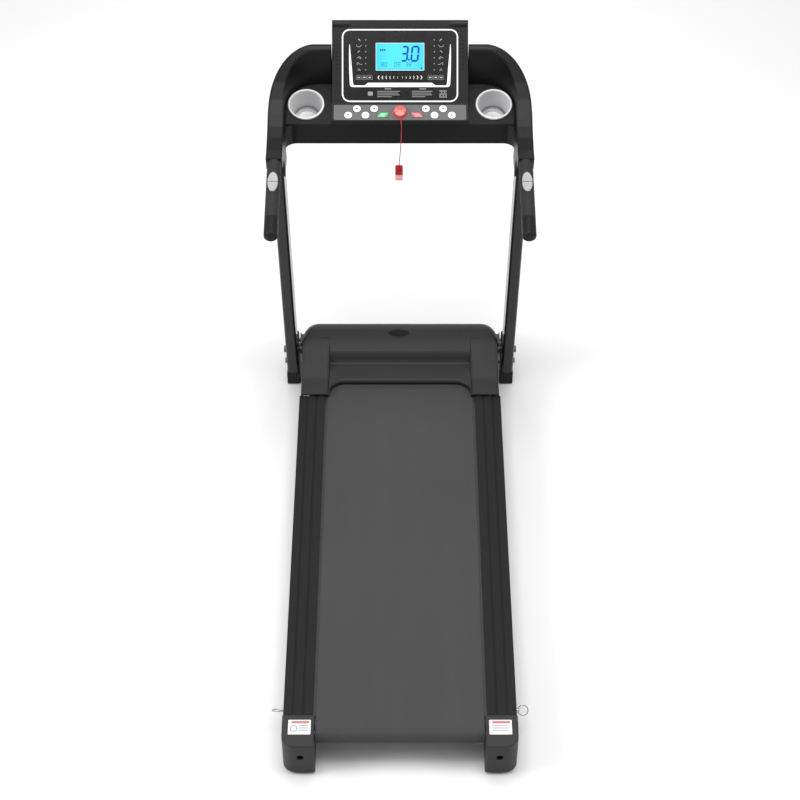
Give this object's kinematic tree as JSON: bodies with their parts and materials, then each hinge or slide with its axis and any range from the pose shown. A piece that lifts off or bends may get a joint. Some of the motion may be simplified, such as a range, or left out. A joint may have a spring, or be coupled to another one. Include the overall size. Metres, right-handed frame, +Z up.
{
  "type": "treadmill",
  "caption": "Folding home treadmill with a motor hood, leaning uprights, side grips with buttons, a tray console with screen and keys, and a safety key on a cord.",
  "frame": {"origin": "middle of the footprint on the floor", "axes": "+X to the user's right, +Y from the rear end of the deck to the motor, +Z up"},
  "size_m": [0.687, 1.555, 1.2202],
  "materials": {
    "frame_paint": "satin",
    "upright_paint": "gloss",
    "plug_plastic": "matte",
    "foot_rubber": "matte",
    "bolt_steel": "satin",
    "console_plastic": "fine texture",
    "tube_steel": "satin",
    "grip_rubber": "matte",
    "cup_plastic": "satin silver",
    "overlay_gloss": "gloss",
    "screen_glass": "gloss",
    "board_wood": "black laminate",
    "belt_rubber": "fine diamond texture",
    "rail_plastic": "fine texture",
    "hood_plastic": "fine texture",
    "motor_metal": "satin",
    "drive_rubber": "matte",
    "controller_aluminium": "satin",
    "leg_paint": "satin",
    "wheel_plastic": "matte",
    "strut_black": "gloss",
    "strut_chrome": "polished",
    "key_white": "gloss",
    "start_green": "gloss",
    "stop_red": "gloss",
    "button_silver": "satin silver",
    "safety_red": "gloss",
    "cord_red": "woven"
  },
  "bodies": {
    "base": {"base_frame": "frame_paint", "base_tube_plugs": "plug_plastic", "base_feet": "foot_rubber", "frame_bolts": "bolt_steel", "pivot_bolts": "bolt_steel", "upright_left": "upright_paint", "upright_right": "upright_paint", "console_hoop": "console_plastic", "grip_tubes": "tube_steel", "grip_left": "grip_rubber", "grip_right": "grip_rubber", "grip_end_caps": "plug_plastic", "console_tray": "console_plastic", "tray_cover": "console_plastic", "cup_holders": "cup_plastic", "console_front": "console_plastic", "console_back": "console_plastic", "face_panel": "overlay_gloss", "display_screen": "screen_glass", "keypad": "console_plastic"},
    "deck": {"deck_frame": "frame_paint", "deck_board": "board_wood", "deck_cushions": "foot_rubber", "running_belt": "belt_rubber", "side_rails": "rail_plastic", "rear_caps": "rail_plastic", "adjuster_bolts": "bolt_steel", "motor_hood": "hood_plastic", "belly_pan": "hood_plastic", "drive_motor": "motor_metal", "drive_belt": "drive_rubber", "motor_controller": "controller_aluminium"},
    "front_roller": {"front_roller": "tube_steel"},
    "rear_roller": {"rear_roller": "tube_steel"},
    "motor_pulley": {"motor_pulley": "motor_metal"},
    "incline_leg_left": {"incline_leg_left": "leg_paint"},
    "incline_leg_right": {"incline_leg_right": "leg_paint"},
    "lock_pin_left": {"lock_pin_left": "bolt_steel"},
    "lock_pin_right": {"lock_pin_right": "bolt_steel"},
    "wheel_left": {"wheel_left": "wheel_plastic"},
    "wheel_right": {"wheel_right": "wheel_plastic"},
    "strut_cylinder": {"strut_cylinder": "strut_black"},
    "strut_rod": {"strut_rod": "strut_chrome"},
    "key_left_1": {"key_left_1": "key_white"},
    "key_left_2": {"key_left_2": "key_white"},
    "key_left_3": {"key_left_3": "key_white"},
    "key_left_4": {"key_left_4": "key_white"},
    "key_right_1": {"key_right_1": "key_white"},
    "key_right_2": {"key_right_2": "key_white"},
    "key_right_3": {"key_right_3": "key_white"},
    "key_right_4": {"key_right_4": "key_white"},
    "start_key": {"start_key": "start_green"},
    "stop_key": {"stop_key": "stop_red"},
    "hand_button_left_front": {"hand_button_left_front": "button_silver"},
    "hand_button_left_rear": {"hand_button_left_rear": "button_silver"},
    "hand_button_right_front": {"hand_button_right_front": "button_silver"},
    "hand_button_right_rear": {"hand_button_right_rear": "button_silver"},
    "safety_key": {"safety_key": "safety_red", "safety_cord": "cord_red", "safety_clip": "safety_red"}
  },
  "joints": [
    {"name": "deck_fold", "type": "hinge", "parent": "base", "child": "deck", "pos_m": [0, 0.613, 0.126], "axis": [-1, 0, 0], "range_deg": [0, 78]},
    {"name": "front_roller_turn", "type": "hinge", "parent": "deck", "child": "front_roller", "pos_m": [0, 0.505, 0.094], "axis": [1, 0, 0], "continuous": true},
    {"name": "rear_roller_turn", "type": "hinge", "parent": "deck", "child": "rear_roller", "pos_m": [0, -0.7185, 0.094], "axis": [1, 0, 0], "continuous": true},
    {"name": "motor_turn", "type": "hinge", "parent": "deck", "child": "motor_pulley", "pos_m": [0, 0.608, 0.122], "axis": [1, 0, 0], "continuous": true},
    {"name": "incline_left", "type": "hinge", "parent": "deck", "child": "incline_leg_left", "pos_m": [-0.273, -0.56, 0.07], "axis": [1, 0, 0], "range_deg": [0, 24]},
    {"name": "incline_right", "type": "hinge", "parent": "deck", "child": "incline_leg_right", "pos_m": [0.273, -0.56, 0.07], "axis": [1, 0, 0], "range_deg": [0, 24]},
    {"name": "pin_pull_left", "type": "slide", "parent": "deck", "child": "lock_pin_left", "axis": [-1, 0, 0], "range_m": [0, 0.012], "stiffness_N_per_m": 400, "springref_m": -0.006},
    {"name": "pin_pull_right", "type": "slide", "parent": "deck", "child": "lock_pin_right", "axis": [1, 0, 0], "range_m": [0, 0.012], "stiffness_N_per_m": 400, "springref_m": -0.006},
    {"name": "wheel_left_roll", "type": "hinge", "parent": "base", "child": "wheel_left", "pos_m": [-0.319, 0.7495, 0.03], "axis": [1, 0, 0], "continuous": true},
    {"name": "wheel_right_roll", "type": "hinge", "parent": "base", "child": "wheel_right", "pos_m": [0.319, 0.7495, 0.03], "axis": [1, 0, 0], "continuous": true},
    {"name": "strut_swing", "type": "hinge", "parent": "base", "child": "strut_cylinder", "pos_m": [0.274, 0.603, 0.081], "axis": [-1, 0, 0], "range_deg": [0, 75.3]},
    {"name": "strut_extend", "type": "slide", "parent": "strut_cylinder", "child": "strut_rod", "axis": [0, -1, -0.0034], "range_m": [0, 0.0525]},
    {"name": "safety_key_pull", "type": "slide", "parent": "base", "child": "safety_key", "axis": [0, -0.342, 0.9397], "range_m": [0, 0.03]},
    {"name": "key_left_1_press", "type": "slide", "parent": "base", "child": "key_left_1", "axis": [0, 0.342, -0.9397], "range_m": [0, 0.0008], "stiffness_N_per_m": 800, "springref_m": -0.0006},
    {"name": "key_left_2_press", "type": "slide", "parent": "base", "child": "key_left_2", "axis": [0, 0.342, -0.9397], "range_m": [0, 0.0008], "stiffness_N_per_m": 800, "springref_m": -0.0006},
    {"name": "key_left_3_press", "type": "slide", "parent": "base", "child": "key_left_3", "axis": [0, 0.342, -0.9397], "range_m": [0, 0.0008], "stiffness_N_per_m": 800, "springref_m": -0.0006},
    {"name": "key_left_4_press", "type": "slide", "parent": "base", "child": "key_left_4", "axis": [0, 0.342, -0.9397], "range_m": [0, 0.0008], "stiffness_N_per_m": 800, "springref_m": -0.0006},
    {"name": "key_right_1_press", "type": "slide", "parent": "base", "child": "key_right_1", "axis": [0, 0.342, -0.9397], "range_m": [0, 0.0008], "stiffness_N_per_m": 800, "springref_m": -0.0006},
    {"name": "key_right_2_press", "type": "slide", "parent": "base", "child": "key_right_2", "axis": [0, 0.342, -0.9397], "range_m": [0, 0.0008], "stiffness_N_per_m": 800, "springref_m": -0.0006},
    {"name": "key_right_3_press", "type": "slide", "parent": "base", "child": "key_right_3", "axis": [0, 0.342, -0.9397], "range_m": [0, 0.0008], "stiffness_N_per_m": 800, "springref_m": -0.0006},
    {"name": "key_right_4_press", "type": "slide", "parent": "base", "child": "key_right_4", "axis": [0, 0.342, -0.9397], "range_m": [0, 0.0008], "stiffness_N_per_m": 800, "springref_m": -0.0006},
    {"name": "start_key_press", "type": "slide", "parent": "base", "child": "start_key", "axis": [0, 0.342, -0.9397], "range_m": [0, 0.0008], "stiffness_N_per_m": 800, "springref_m": -0.0006},
    {"name": "stop_key_press", "type": "slide", "parent": "base", "child": "stop_key", "axis": [0, 0.342, -0.9397], "range_m": [0, 0.0008], "stiffness_N_per_m": 800, "springref_m": -0.0006},
    {"name": "hand_button_left_front_press", "type": "slide", "parent": "base", "child": "hand_button_left_front", "axis": [0, 0.1676, -0.9858], "range_m": [0, 0.0008], "stiffness_N_per_m": 800, "springref_m": -0.0006},
    {"name": "hand_button_left_rear_press", "type": "slide", "parent": "base", "child": "hand_button_left_rear", "axis": [0, 0.1676, -0.9858], "range_m": [0, 0.0008], "stiffness_N_per_m": 800, "springref_m": -0.0006},
    {"name": "hand_button_right_front_press", "type": "slide", "parent": "base", "child": "hand_button_right_front", "axis": [0, 0.1676, -0.9858], "range_m": [0, 0.0008], "stiffness_N_per_m": 800, "springref_m": -0.0006},
    {"name": "hand_button_right_rear_press", "type": "slide", "parent": "base", "child": "hand_button_right_rear", "axis": [0, 0.1676, -0.9858], "range_m": [0, 0.0008], "stiffness_N_per_m": 800, "springref_m": -0.0006}
  ],
  "couplings": [
    {"joint": "rear_roller_turn", "follows": "front_roller_turn", "ratio": 1},
    {"joint": "motor_turn", "follows": "front_roller_turn", "ratio": 2.1429},
    {"joint": "strut_swing", "follows": "deck_fold", "ratio": 0.9627},
    {"joint": "strut_extend", "follows": "deck_fold", "m_per_rad": 0.03783}
  ]
}
